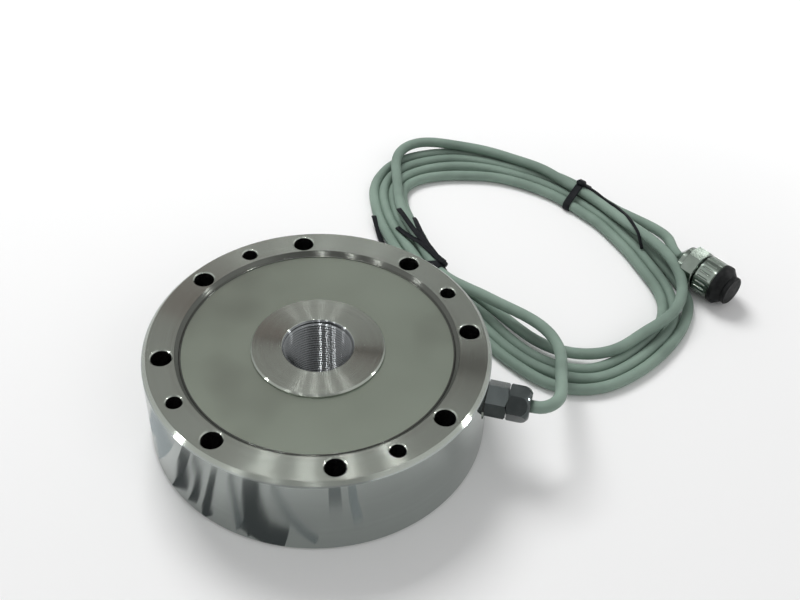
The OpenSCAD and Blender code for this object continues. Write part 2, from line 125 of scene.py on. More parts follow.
# Where the turns lie across the coil. Each row: degrees travelled clockwise since the
# coil's start, the five turns' places (-1 is the coil's inner side, 1 its outer side),
# and the height of the first turn, which lies on the others.
STATIONS = [
    [0, -0.19, -1, 0, 0.5, 1, 10.6], [16, -0.9, -1.5, -0.2, 0.45, 1.1, 8.6],
    [35, -0.85, -1.45, -0.45, 0.3, 0.95, 8], [51, -0.85, -1.4, -0.65, 0.1, 0.92, 8],
    [62, -0.8, -1.1, -0.5, 0.18, 0.87, 8], [77, -0.5, -0.9, -0.3, 0.28, 0.82, 8.8],
    [89, 0.7, -1.3, -0.65, 0, 0.62, 9.8], [97, 0.87, -1.45, -0.7, -0.1, 0.48, 9.8],
    [106, 0.6, -1.3, -0.55, 0.05, 0.55, 9.2], [121, 0.62, -0.68, -0.15, 0.32, 0.75, 8.4],
    [139, 0.7, -0.35, 0.12, 0.6, 1.05, 7.9], [160, 0.4, -0.65, 0.03, 0.72, 1.35, 7.6],
    [172, 0.42, -0.9, -0.15, 0.6, 1.3, 7.8], [185.2, 0.45, -0.5, 0.18, 0.85, 1.46, 8.6],
    [209, 0.5, -0.72, 0.03, 0.77, 0, 11.8], [229, 0.62, -1.15, -0.45, 0.7, 0, 12.4],
    [242, 0.5, -0.7, -0.05, 1.06, 0, 12.3], [255, 0.1, -0.4, 0.2, 0.72, 0, 11.3],
    [270, -0.55, -0.45, 0.05, 0.57, 0, 9.8], [281, -0.5, -0.28, 0.2, 0.67, 0, 8],
    [294, -0.58, 0.05, 0.52, 1, 0, 6.3], [306, -0.62, 0.06, 0.52, 1.14, 0, 6.2],
    [318, -0.68, 0.02, 0.46, 0.92, 0, 6.5], [336, -0.6, -0.08, 0.38, 0.86, 0, 6]]
TIE_STATION, TOP_TURN, TOP_TURN_Z = 16, 3, 7.5
SAMPLE = 4 * MM
ROUNDS = 240


def route(points, count):
    """Points along a smooth curve through the route's points."""
    last = len(points) - 1
    t = np.linspace(0, last, count)
    i = np.minimum(t.astype(int), last - 1)
    u = (t - i)[:, None]
    a, b, c, d = (points[np.clip(i + k, 0, last)] for k in (-1, 0, 1, 2))
    return 0.5 * (2 * b + (c - a) * u + (2 * a - 5 * b + 4 * c - d) * u ** 2
                  + (3 * b - a - 3 * c + d) * u ** 3)


def resample(points, step):
    """The same line as points at equal distances."""
    along = np.r_[0, np.cumsum(np.linalg.norm(np.diff(points, axis=0), axis=1))]
    at = np.linspace(0, along[-1], int(round(along[-1] / step)) + 1)
    return np.stack([np.interp(at, along, points[:, k]) for k in range(3)], 1)


def coil_line(angle):
    waves = [h * np.cos(np.radians(n * (angle - at))) for n, h, at in COIL_WAVES]
    return COIL_R + sum(waves)


def near_angle(angle, at, spread):
    return np.exp(-(((angle - at + 540) % 360 - 180) / spread) ** 2)


def coil_half(angle):
    """Half of the width that the cable's centres take across the coil."""
    pinch = sum(near_angle(angle, at, COIL_PINCH_ANGLE) for at in (TIE_NEAR_AT, TIE_FAR_AT))
    wave = COIL_SPREAD * np.cos(np.radians(2 * (angle - COIL_SPREAD_AT)))
    return COIL_HALF_W + wave - COIL_PINCH * pinch - CABLE_R / MM


def smooth_through(x, xs, ys):
    """A smooth curve through (xs, ys), read at x."""
    gap = np.diff(xs)
    rise = np.diff(ys) / gap
    slope = np.r_[rise[0], (rise[:-1] * gap[1:] + rise[1:] * gap[:-1]) / (gap[1:] + gap[:-1]),
                  rise[-1]]
    i = np.clip(np.searchsorted(xs, x) - 1, 0, len(xs) - 2)
    w = gap[i]
    u = (x - xs[i]) / w
    return ((2 * u ** 3 - 3 * u ** 2 + 1) * ys[i] + (u ** 3 - 2 * u ** 2 + u) * w * slope[i]
            + (3 * u ** 2 - 2 * u ** 3) * ys[i + 1] + (u ** 3 - u ** 2) * w * slope[i + 1])


def coil_turns(start, end):
    """The turns as planned, from the lead's end to the tail's start."""
    first, last = (math.degrees(math.atan2(*(p[1::-1] / MM - COIL_CENTRE[::-1])))
                   for p in (start, end))
    total = (first - last) % 360 + 360 * FULL_TURNS
    rows = []
    for turn in range(FULL_TURNS + 1):
        for at, *lanes, height in STATIONS:
            low = TOP_TURN_Z if (turn, at) == (TOP_TURN, TIE_STATION) else CABLE_R / MM
            if 360 * turn + at < total + 1:
                rows.append((360 * turn + at, lanes[turn], height if turn == 0 else low))
    at, lane, height = np.array(rows, float).T
    travel = np.linspace(0, total, 1600)
    angle = first - travel
    radius = coil_line(angle) + smooth_through(travel, at, lane) * coil_half(angle)
    x = COIL_CENTRE[0] + radius * np.cos(np.radians(angle))
    y = COIL_CENTRE[1] + radius * np.sin(np.radians(angle))
    z = smooth_through(travel, at, height)
    turns = resample(mm(np.stack([x, y, z], 1)), SAMPLE)
    place = np.arange(len(turns))
    for at_end, fixed in ((0, start), (len(turns) - 1, end)):
        weight = np.clip(1 - np.abs(place - at_end) / 20, 0, 1)[:, None] ** 2
        turns += weight * (fixed - turns[at_end])
    return turns


def settle(line, free):
    """Lets the free points sink and bend smoothly until no two turns lie in each other."""
    wanted = line.copy()
    skip = int(np.ceil(2.2 * CABLE_D / SAMPLE))
    for step in range(ROUNDS):
        if step % 12 == 0:
            apart = ((line[:, None] - line[None]) ** 2).sum(2)
            first, second = np.nonzero(np.triu(apart < (1.8 * CABLE_D) ** 2, skip))
        line[free] += 0.03 * (wanted - line)[free] * [1, 1, 0.15]
        line[free, 2] -= 0.006 * MM
        bend = np.zeros_like(line)
        bend[1:-1] = line[2:] - 2 * line[1:-1] + line[:-2]
        stiff = np.zeros_like(line)
        stiff[1:-1] = bend[2:] - 2 * bend[1:-1] + bend[:-2]
        line[free] -= 0.06 * stiff[free]
        for _ in range(4):
            way = line[second] - line[first]
            far = np.linalg.norm(way, axis=1)
            hit = far < CABLE_D
            i, j = first[hit], second[hit]
            push = ((CABLE_D - far[hit]) / np.maximum(far[hit], 1e-6) * 0.25)[:, None] * way[hit]
            np.add.at(line, j, push * free[j][:, None])
            np.add.at(line, i, -push * free[i][:, None])
            line[free, 2] = np.maximum(line[free, 2], CABLE_R)
    return line


def cable_line():
    """The whole cable's centreline: lead, turns and tail."""
    lead = resample(route(LEAD_ROUTE, 300), SAMPLE)
    tail = resample(route(TAIL_ROUTE, 150), SAMPLE)
    turns = coil_turns(lead[-1], tail[0])
    line = np.vstack([lead[:-1], turns, tail[1:]])
    free = np.zeros(len(line), bool)
    free[len(lead):len(lead) + len(turns) - 2] = True
    return settle(line, free)


def swept_mesh(name, line, outline):
    """A mesh that carries the outline's points (across, up) along the line."""
    n, sides = len(line), len(outline)
    ways = np.gradient(line, axis=0)
    ways /= np.linalg.norm(ways, axis=1)[:, None]
    across = np.cross([0, 0, 1], ways)
    across /= np.linalg.norm(across, axis=1)[:, None]
    up = np.cross(ways, across)
    rings = (line[:, None] + across[:, None] * outline[None, :, :1]
             + up[:, None] * outline[None, :, 1:])
    faces = []
    for i in range(n - 1):
        for k in range(sides):
            m = (k + 1) % sides
            faces.append((i * sides + k, i * sides + m, (i + 1) * sides + m, (i + 1) * sides + k))
    faces.append(tuple(range(sides))[::-1])
    faces.append(tuple((n - 1) * sides + k for k in range(sides)))
    obj = new_object(name, rings.reshape(-1, 3).tolist(), faces)
    mesh = obj.data
    mesh.polygons.foreach_set("use_smooth", [len(f) == 4 for f in faces])
    uv = mesh.uv_layers.new(name="along")
    along = np.r_[0, np.cumsum(np.linalg.norm(np.diff(line, axis=0), axis=1))]
    for face in mesh.polygons:
        if len(face.vertices) != 4:
            continue
        for loop in face.loop_indices:
            v = mesh.loops[loop].vertex_index
            k = v % sides
            wrapped = sides if k == 0 and sides - 1 in [w % sides for w in face.vertices] else k
            uv.data[loop].uv = (along[v // sides], wrapped / sides)
    return obj


def circle_outline(radius, sides):
    turn = np.linspace(0, 2 * math.pi, sides, endpoint=False)
    return radius * np.stack([np.cos(turn), np.sin(turn)], 1)


# Ties: straps that hug the turns, with loose ends that lie over them
TIE_W, TIE_T = 4.1 * MM, 1 * MM
TIE_CORNER = 0.35 * MM
LOOSE_END_T, LOOSE_END_CORNER = 1.1 * MM, 0.4 * MM
NEAR_END_W, FAR_END_W = 2.7 * MM, 1.6 * MM
NEAR_END_SHIFTS = (-1 * MM, 0, 1 * MM, 0)
LOCK_SIZE, LOCK_CORNER, LOCK_RISE = (4.6 * MM, 4.2 * MM, 3 * MM), 0.6 * MM, 1.2 * MM
FAR_END_ROUTE = mm([
    [103, 183, 0], [110, 178, 0], [116, 174, 0], [120.5, 168, 0],
    [124, 161, 0], [128, 154, 0], [133, 147, 0]])
NEAR_END_ROUTES = [
    mm([[29, 109.5, 0], [21, 118.5, 0], [12, 135, 0]]),
    mm([[28, 108, 0], [17, 117, 0], [5, 128, 0]]),
    mm([[28.5, 109, 0], [17, 120.5, 0], [3, 138.5, 0]]),
    mm([[18, 98, 0], [8, 107, 0], [-1.5, 120, 0], [-10, 136, 0]])]


def convex_hull(points):
    """The hull of points in a plane, anticlockwise."""
    def half(ordered):
        kept = []
        for p in ordered:
            while len(kept) > 1 and ((kept[-1][0] - kept[-2][0]) * (p[1] - kept[-2][1])
                                     <= (kept[-1][1] - kept[-2][1]) * (p[0] - kept[-2][0])):
                kept.pop()
            kept.append(p)
        return kept[:-1]
    ordered = sorted(map(tuple, points))
    return np.array(half(ordered) + half(ordered[::-1]))


def rounded_section(width, height, corner, steps=3):
    """A rectangle with rounded corners, centred, anticlockwise."""
    points = []
    for x, y, start in ((1, 1, 0), (-1, 1, 90), (-1, -1, 180), (1, -1, 270)):
        for k in range(steps + 1):
            turn = math.radians(start + 90 * k / steps)
            points.append((x * (width / 2 - corner) + corner * math.cos(turn),
                           y * (height / 2 - corner) + corner * math.sin(turn)))
    return np.array(points)


def loop_mesh(name, loop, outward, axis, section):
    """A closed band: the section's first axis lies along axis, its second one outward."""
    n, sides = len(loop), len(section)
    rings = loop[:, None] + axis * section[None, :, :1] + outward[:, None] * section[None, :, 1:]
    faces = [(i * sides + k, (i + 1) % n * sides + k,
              (i + 1) % n * sides + (k + 1) % sides, i * sides + (k + 1) % sides)
             for i in range(n) for k in range(sides)]
    return new_object(name, rings.reshape(-1, 3).tolist(), faces)


def crossings(line, centre, way):
    """Where the line passes through the plane at centre that faces way, near the centre."""
    side = (line - centre) @ way
    near = np.linalg.norm((line - centre)[:, :2], axis=1) < 30 * MM
    return np.array([
        line[i] + side[i] / (side[i] - side[i + 1]) * (line[i + 1] - line[i])
        for i in np.nonzero((side[:-1] * side[1:] < 0) & near[:-1])[0]])


def coil_point(angle):
    reach = coil_line(angle) * MM
    return np.array([COIL_CENTRE[0] * MM + reach * math.cos(math.radians(angle)),
                     COIL_CENTRE[1] * MM + reach * math.sin(math.radians(angle)), 0])


def make_strap(name, line, angle, lock_side):
    """A strap round every turn that passes the place, with its square lock.

    Returns the strap and the lock's place."""
    centre = coil_point(angle)
    way = unit(coil_point(angle + 1) - coil_point(angle - 1))
    across, up = np.array([way[1], -way[0], 0]), np.array([0, 0, 1])
    hits = crossings(line, centre, way) - centre
    flat = np.stack([hits @ across, hits[:, 2]], 1)
    turn = np.linspace(0, 2 * math.pi, 48, endpoint=False)
    circle = np.stack([np.cos(turn), np.sin(turn)], 1)
    hull = convex_hull((flat[:, None] + circle * (CABLE_R + TIE_T / 2)).reshape(-1, 2))
    hull[:, 1] = np.maximum(hull[:, 1], TIE_T / 2)
    closed = np.vstack([hull, hull[:1]])
    along = np.r_[0, np.cumsum(np.linalg.norm(np.diff(closed, axis=0), axis=1))]
    at = np.linspace(0, along[-1], 97)[:-1]
    loop = np.stack([np.interp(at, along, closed[:, k]) for k in (0, 1)], 1)
    tangent = np.roll(loop, -1, 0) - np.roll(loop, 1, 0)
    tangent /= np.linalg.norm(tangent, axis=1)[:, None]
    out = tangent[:, 1:] * across - tangent[:, :1] * up
    path = centre + loop[:, :1] * across + loop[:, 1:] * up
    strap = loop_mesh(name, path, out, way, rounded_section(TIE_W, TIE_T, TIE_CORNER))
    spot = int(np.argmax(loop @ np.array(lock_side)))
    lock_at = path[spot] + out[spot] * LOCK_RISE
    add_lock(strap, lock_at, way, out[spot])
    return strap, lock_at


def add_lock(strap, centre, way, out):
    """The lock: a small block with rounded edges, joined to its strap's mesh."""
    made = bmesh.new()
    bmesh.ops.create_cube(made, size=1)
    length, width, height = LOCK_SIZE
    turn = Matrix((way * length, np.cross(out, way) * width, out * height)).transposed()
    bmesh.ops.transform(made, matrix=Matrix.Translation(Vector(centre)) @ turn.to_4x4(),
                        verts=made.verts)
    bmesh.ops.bevel(made, geom=made.edges[:], offset=LOCK_CORNER, segments=3, affect="EDGES")
    made.from_mesh(strap.data)
    bmesh.ops.recalc_face_normals(made, faces=made.faces)
    made.to_mesh(strap.data)
    made.free()
    strap.data.shade_smooth()


def make_loose_end(name, start, points, cable_points, width):
    """A strap's loose end: a narrow strip that leaves the lock and lies on the turns."""
    line = resample(route(np.vstack([start * [1, 1, 0], points]), 200), 1 * MM)
    gap = np.linalg.norm(line[:, None, :2] - cable_points[None, :, :2], axis=2)
    reach = CABLE_R + LOOSE_END_T / 2
    over = cable_points[None, :, 2] + np.sqrt(np.maximum(reach ** 2 - gap ** 2, 0))
    height = np.where(gap < reach, over, LOOSE_END_T / 2).max(1)
    spring = np.clip(1 - np.arange(len(line)) / 10, 0, 1) ** 2
    height = np.maximum(height, start[2] * spring)
    height[0] = start[2]
    raised = height.copy()
    for _ in range(80):
        raised[1:-1] = np.maximum(height[1:-1], (raised[:-2] + raised[2:]) / 2)
    line[:, 2] = raised
    return swept_mesh(name, line, rounded_section(width, LOOSE_END_T, LOOSE_END_CORNER))


CABLE_SIDES = 18
centreline = cable_line()
fine_line = route(centreline, 2 * len(centreline) - 1)
cable = swept_mesh("cable", fine_line, circle_outline(CABLE_R, CABLE_SIDES))
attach(cable, "sensor")
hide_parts("cable_lead", "cable_coil", "cable_tail")
tie_far, far_lock = make_strap("tie_far_strap", fine_line, TIE_FAR_AT, (0.3, 0.9))
tie_near, near_lock = make_strap("tie_near_strap", fine_line, TIE_NEAR_AT, (-0.75, 0.66))
far_end = make_loose_end("tie_far_tail", far_lock, FAR_END_ROUTE, fine_line, FAR_END_W)
near_ends = []
for i, (shift, points) in enumerate(zip(NEAR_END_SHIFTS, NEAR_END_ROUTES)):
    start = near_lock + shift * np.array([0.6, 0.8, 0])
    near_ends.append(
        make_loose_end(f"tie_near_tail_{i + 1}", start, points, fine_line, NEAR_END_W))
TIES = [tie_far, tie_near, far_end, *near_ends]
for piece in TIES:
    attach(piece, "sensor")
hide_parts("tie_far")
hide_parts("tie_near")
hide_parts("tie_far_end")
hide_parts("tie_near_ends")


# Materials
def new_material(name):
    material = bpy.data.materials.new(name)
    material.use_nodes = True
    tree = material.node_tree
    shader = tree.nodes["Principled BSDF"]
    return tree, shader, material


def node(tree, kind, **values):
    made = tree.nodes.new(kind)
    for key, value in values.items():
        if key in made.bl_rna.properties:
            setattr(made, key, value)
        else:
            made.inputs[key.replace("_", " ")].default_value = value
    return made


def place(tree):
    """Object coordinates in metres."""
    return node(tree, "ShaderNodeTexCoord").outputs["Object"]


def noise(tree, vector, scale, detail=2.0, stretch=None):
    """A soft noise from 0 to 1; stretch scales its coordinates."""
    if stretch:
        scaled = node(tree, "ShaderNodeVectorMath", operation="MULTIPLY")
        tree.links.new(vector, scaled.inputs[0])
        scaled.inputs[1].default_value = stretch
        vector = scaled.outputs[0]
    made = node(tree, "ShaderNodeTexNoise", Scale=scale, Detail=detail)
    tree.links.new(vector, made.inputs["Vector"])
    return made.outputs["Fac"]


def ramp(tree, factor, stops):
    """Colour or grey stops: [(place, colour)], colour a number or three numbers."""
    made = node(tree, "ShaderNodeValToRGB")
    elements = made.color_ramp.elements
    while len(elements) < len(stops):
        elements.new(0.5)
    for element, (at, colour) in zip(elements, stops):
        grey = (colour,) * 3 if isinstance(colour, (int, float)) else colour
        element.position = at
        element.color = (*grey, 1)
    tree.links.new(factor, made.inputs["Fac"])
    return made.outputs["Color"]


def bump(tree, shader, height, strength, distance):
    made = node(tree, "ShaderNodeBump", Strength=strength, Distance=distance)
    tree.links.new(height, made.inputs["Height"])
    tree.links.new(made.outputs["Normal"], shader.inputs["Normal"])


def round_coordinates(tree):
    """(distance from the Z axis, height, 0) in metres: equal along each turned groove."""
    split = node(tree, "ShaderNodeSeparateXYZ")
    tree.links.new(place(tree), split.inputs[0])
    flat = node(tree, "ShaderNodeCombineXYZ")
    tree.links.new(split.outputs["X"], flat.inputs["X"])
    tree.links.new(split.outputs["Y"], flat.inputs["Y"])
    length = node(tree, "ShaderNodeVectorMath", operation="LENGTH")
    tree.links.new(flat.outputs[0], length.inputs[0])
    joined = node(tree, "ShaderNodeCombineXYZ")
    tree.links.new(length.outputs["Value"], joined.inputs["X"])
    tree.links.new(split.outputs["Z"], joined.inputs["Y"])
    return joined.outputs[0]


def mix_numbers(tree, factor, a, b):
    made = node(tree, "ShaderNodeMix", data_type="FLOAT")
    for value, socket in ((factor, 0), (a, 2), (b, 3)):
        if isinstance(value, (int, float)):
            made.inputs[socket].default_value = value
        else:
            tree.links.new(value, made.inputs[socket])
    return made.outputs[0]


# Where the body's surfaces lie: distances from the axis and heights in millimetres
SIDE_FROM_R = 74.5
BORE_TO_R = 15.6
HOLES_R, HOLES_Z = (60.8, 72.5), (0.8, 42.3)
SEAM_R, SEAM_Z = (58, 61.1), (38, 44)


def mix_colours(tree, factor, a, b):
    made = node(tree, "ShaderNodeMix", data_type="RGBA")
    for value, socket in ((factor, 0), (a, 6), (b, 7)):
        if isinstance(value, tuple):
            made.inputs[socket].default_value = value
        else:
            tree.links.new(value, made.inputs[socket])
    return made.outputs[2]


def zone(tree, reach, *limits):
    """1 where the distance from the axis (X) and the height (Y) are between these limits, in mm."""
    made = None
    for axis, low, high in limits:
        middle = node(tree, "ShaderNodeMath", operation="COMPARE")
        tree.links.new(reach.outputs[axis], middle.inputs[0])
        middle.inputs[1].default_value = (low + high) / 2 * MM
        middle.inputs[2].default_value = (high - low) / 2 * MM
        if made is not None:
            both = node(tree, "ShaderNodeMath", operation="MULTIPLY")
            tree.links.new(made, both.inputs[0])
            tree.links.new(middle.outputs[0], both.inputs[1])
            middle = both
        made = middle.outputs[0]
    return made


def turned_steel():
    """Lathe-turned steel: fine grooves round the axis and highlights that stretch across them.

    The side is polished, and its colour is painted a little lighter. The holes, the bore with its
    thread and the groove at the diaphragm's seam are darker, with painted shade."""
    tree, shader, material = new_material("turned_steel")
    shader.inputs["Metallic"].default_value = 1
    shader.inputs["Anisotropic"].default_value = 1
    shader.inputs["Anisotropic Rotation"].default_value = 0.25
    tangent = node(tree, "ShaderNodeTangent", direction_type="RADIAL", axis="Z")
    tree.links.new(tangent.outputs[0], shader.inputs["Tangent"])
    rings = round_coordinates(tree)
    reach = node(tree, "ShaderNodeSeparateXYZ")
    tree.links.new(rings, reach.inputs[0])
    grooves = noise(tree, rings, 2600, 0)
    bands = noise(tree, rings, 240, 2)
    patches = noise(tree, place(tree), 28, 3)
    mixed = mix_numbers(tree, 0.5, bands, patches)
    side = node(tree, "ShaderNodeMath", operation="GREATER_THAN")
    tree.links.new(reach.outputs["X"], side.inputs[0])
    side.inputs[1].default_value = SIDE_FROM_R * MM
    # Painted light: the polished side gets a colour of its own, a little lighter than the top
    # faces', to make up for the shaded floor that it mirrors.
    colour = node(tree, "ShaderNodeMix", data_type="RGBA")
    tree.links.new(side.outputs[0], colour.inputs["Factor"])
    for socket, stops in ((6, [(0.3, (0.30, 0.318, 0.286)), (0.5, (0.335, 0.36, 0.325)),
                               (0.72, (0.37, 0.405, 0.368))]),
                          (7, [(0.3, (0.32, 0.345, 0.33)), (0.7, (0.37, 0.40, 0.385))])):
        tree.links.new(ramp(tree, mixed, stops), colour.inputs[socket])
    # Painted shade: the walls inside the holes in the ring are coloured near-black, for the shade
    # that falls in them.
    holes = zone(tree, reach, ("X", *HOLES_R), ("Y", *HOLES_Z))
    # Painted shade: the seat's wall and bevel round the diaphragm, and the weld bead on it, are
    # coloured dark, for the shade in this groove.
    seam = zone(tree, reach, ("X", *SEAM_R), ("Y", *SEAM_Z))
    holes_shaded = mix_colours(tree, holes, colour.outputs[2], (0.07, 0.072, 0.07, 1))
    seam_shaded = mix_colours(tree, seam, holes_shaded, (0.1, 0.105, 0.095, 1))
    # Painted shade: the bore and its thread are coloured darker, for the shade inside the bore.
    bore = zone(tree, reach, ("X", 0, BORE_TO_R))
    bore_shaded = mix_colours(tree, bore, seam_shaded, (0.19, 0.2, 0.205, 1))
    tree.links.new(bore_shaded, shader.inputs["Base Color"])
    faced = ramp(tree, mixed, [(0.3, 0.215), (0.7, 0.195)])
    smooth = ramp(tree, patches, [(0.3, 0.15), (0.7, 0.12)])
    inside = mix_numbers(tree, bore, faced, 0.24)
    tree.links.new(mix_numbers(tree, side.outputs[0], inside, smooth), shader.inputs["Roughness"])
    cut_marks = mix_numbers(tree, bore, grooves, 0.5)
    relief = mix_numbers(tree, side.outputs[0], cut_marks, 0.5)
    bump(tree, shader, relief, 1, 0.00006)
    return material


def matte_plate():
    """Fine matte plating with soft darker patches: random mottling that also stands in for darker
    surroundings, as a painted reflection.
    """
    tree, shader, material = new_material("matte_plate")
    shader.inputs["Metallic"].default_value = 0.85
    patches = noise(tree, place(tree), 17, 2)
    grain = noise(tree, place(tree), 2400, 2)
    # Painted reflection, partly: the darker patches also stand for darker surroundings mirrored in
    # the plate.
    colour = ramp(tree, patches, [
        (0.3, (0.18, 0.195, 0.166)), (0.45, (0.25, 0.281, 0.236)), (0.66, (0.288, 0.324, 0.274))])
    tree.links.new(colour, shader.inputs["Base Color"])
    rough = ramp(tree, patches, [(0.35, 0.34), (0.65, 0.3)])
    tree.links.new(rough, shader.inputs["Roughness"])
    bump(tree, shader, grain, 0.15, 0.00005)
    return material


def plain_metal(name, dark, light, roughness, scale=300):
    """Satin metal with fine mottling, lighter where it is worn."""
    tree, shader, material = new_material(name)
    shader.inputs["Metallic"].default_value = 1
    mottle = noise(tree, place(tree), scale, 3)
    tree.links.new(ramp(tree, mottle, [(0.35, dark), (0.65, light)]), shader.inputs["Base Color"])
    rough = ramp(tree, mottle, [(0.3, roughness * 1.2), (0.7, roughness * 0.8)])
    tree.links.new(rough, shader.inputs["Roughness"])
    bump(tree, shader, noise(tree, place(tree), 3000, 2), 0.1, 0.00003)
    return material


def plain_plastic(name, dark, light, roughness, scale=400, relief=0.00004, gloss=0.5):
    """Moulded plastic, rubber or board with a fine grain."""
    tree, shader, material = new_material(name)
    shader.inputs["Specular IOR Level"].default_value = gloss
    mottle = noise(tree, place(tree), scale, 3)
    tree.links.new(ramp(tree, mottle, [(0.35, dark), (0.65, light)]), shader.inputs["Base Color"])
    rough = ramp(tree, mottle, [(0.3, roughness * 1.12), (0.7, roughness * 0.88)])
    tree.links.new(rough, shader.inputs["Roughness"])
    bump(tree, shader, noise(tree, place(tree), 2500, 2), 0.2, relief)
    return material


def jacket():
    """The cable's smooth soft jacket, slightly uneven and handled."""
    tree, shader, material = new_material("jacket")
    shader.inputs["Specular IOR Level"].default_value = 0.3
    broad = noise(tree, place(tree), 45, 3)
    colour = ramp(tree, broad, [
        (0.3, (0.158, 0.216, 0.18)), (0.5, (0.19, 0.26, 0.216)), (0.7, (0.222, 0.3, 0.25))])
    tree.links.new(colour, shader.inputs["Base Color"])
    tree.links.new(ramp(tree, broad, [(0.3, 0.62), (0.7, 0.54)]), shader.inputs["Roughness"])
    bump(tree, shader, noise(tree, place(tree), 900, 2), 0.15, 0.00005)
    return material


MATERIALS = {
    "body_steel": turned_steel(),
    "diaphragm_steel": matte_plate(),
    "gland_metal": plain_metal("nickel", (0.068, 0.078, 0.078), (0.098, 0.11, 0.11), 0.13, 130),
    "plug_metal": plain_metal("satin_alloy", (0.16, 0.19, 0.165), (0.23, 0.265, 0.235), 0.17, 90),
    "spring_steel": plain_metal("spring_steel", (0.22, 0.22, 0.21), (0.3, 0.3, 0.29), 0.3),
    "contact_gold": plain_metal("gold_plate", (0.62, 0.42, 0.14), (0.75, 0.53, 0.2), 0.25),
    "gauge_foil": plain_metal("foil", (0.45, 0.27, 0.1), (0.6, 0.38, 0.16), 0.35),
    "copper_wire": plain_metal("copper", (0.5, 0.22, 0.12), (0.62, 0.3, 0.17), 0.35),
    "cable_jacket": jacket(),
    "tie_black": plain_plastic("tie_black", (0.005, 0.006, 0.008), (0.01, 0.011, 0.013), 0.5,
                               gloss=0.12),
    "cap_black": plain_plastic("cap_black", (0.005, 0.0055, 0.006), (0.01, 0.011, 0.011), 0.5,
                               gloss=0.12),
    "insert_black": plain_plastic("insert_black", (0.015,) * 3, (0.025,) * 3, 0.4),
    "claw_plastic": plain_plastic("claw_plastic", (0.05, 0.055, 0.05), (0.08, 0.085, 0.08), 0.45),
    "seal_rubber": plain_plastic("seal_rubber", (0.02, 0.021, 0.02), (0.035, 0.036, 0.035), 0.6),
    "resistor_black": plain_plastic("resistor_black", (0.02,) * 3, (0.035,) * 3, 0.4),
    "board_green": plain_plastic("board_green", (0.02, 0.11, 0.05), (0.03, 0.16, 0.07), 0.35),
    "core_cream": plain_plastic("core_cream", (0.55, 0.5, 0.38), (0.66, 0.6, 0.46), 0.45),
}


def set_material(obj, slot):
    obj.data.materials.clear()
    obj.data.materials.append(MATERIALS[slot])


for part in frame["record"]["subparts"]:
    cad = frame["nodes"][part["node"]]
    for place_in_list in range(len(cad.material_slots)):
        cad.material_slots[place_in_list].material = MATERIALS[part["material_slot"]]
set_material(cable, "cable_jacket")
for piece in TIES:
    set_material(piece, "tie_black")


def hub_thread():
    """The hub's fine inner thread: one helical ridge inside the CAD model's bore."""
    pitch, depth, bore_r, steps = 1.5 * MM, 0.8 * MM, 15 * MM, 96
    low, high = 2.2 * MM, 41.6 * MM
    count = int((high - low) / pitch * steps)
    section = [(0.03, -0.47), (0.03, 0.47), (-1, 0.08), (-1, -0.08)]
    points = []
    for i in range(count + 1):
        turn = 2 * math.pi * i / steps
        ease = min(1, 3 * i / steps, 3 * (count - i) / steps)
        for out, along in section:
            r = bore_r + out * depth * (ease if out < 0 else 1)
            z = low + pitch * (i / steps + along)
            points.append((r * math.cos(turn), r * math.sin(turn), z))
    faces = [(4 * i + k, 4 * i + (k + 1) % 4, 4 * i + 4 + (k + 1) % 4, 4 * i + 4 + k)
             for i in range(count) for k in range(4)]
    faces += [(3, 2, 1, 0), tuple(4 * count + k for k in range(4))]
    thread = new_object("hub_thread", points, faces)
    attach(thread, "sensor")
    set_material(thread, "body_steel")


hub_thread()


BEAD_R, BEAD_AT_R, BEAD_AT_Z = 0.45 * MM, 58.9 * MM, 41.1 * MM


def weld_bead():
    """The fine bead that joins the diaphragm's edge to its seat."""
    turn = np.linspace(0, 2 * math.pi, 241)[:-1]
    out = np.stack([np.cos(turn), np.sin(turn), 0 * turn], 1)
    middle = out * BEAD_AT_R + [0, 0, BEAD_AT_Z]
    bead = loop_mesh("weld_bead", middle, out, np.array([0, 0, 1]), circle_outline(BEAD_R, 12))
    bead.data.shade_smooth()
    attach(bead, "sensor")
    set_material(bead, "body_steel")


weld_bead()


# Studio: pale floor, white background and plain soft light
def make_floor():
    half = 4
    corners = [(-half, -half, 0), (half, -half, 0), (half, half, 0), (-half, half, 0)]
    floor = new_object("floor", corners, [(0, 1, 2, 3)])
    tree, shader, material = new_material("floor")
    shader.inputs["Base Color"].default_value = (0.88, 0.88, 0.88, 1)
    shader.inputs["Roughness"].default_value = 0.9
    shader.inputs["Specular IOR Level"].default_value = 0.1
    # Far from the sensor the floor goes over into the white background.
    away = node(tree, "ShaderNodeVectorMath", operation="LENGTH")
    tree.links.new(place(tree), away.inputs[0])
    far = node(tree, "ShaderNodeMapRange", interpolation_type="SMOOTHSTEP")
    far.inputs["From Min"].default_value, far.inputs["From Max"].default_value = 0.2, 0.8
    tree.links.new(away.outputs["Value"], far.inputs["Value"])
    seen = node(tree, "ShaderNodeLightPath")
    glow = node(tree, "ShaderNodeMath", operation="MULTIPLY")
    tree.links.new(far.outputs[0], glow.inputs[0])
    tree.links.new(seen.outputs["Is Camera Ray"], glow.inputs[1])
    shader.inputs["Emission Color"].default_value = (0.6, 0.6, 0.6, 1)
    tree.links.new(glow.outputs[0], shader.inputs["Emission Strength"])
    floor.data.materials.append(material)


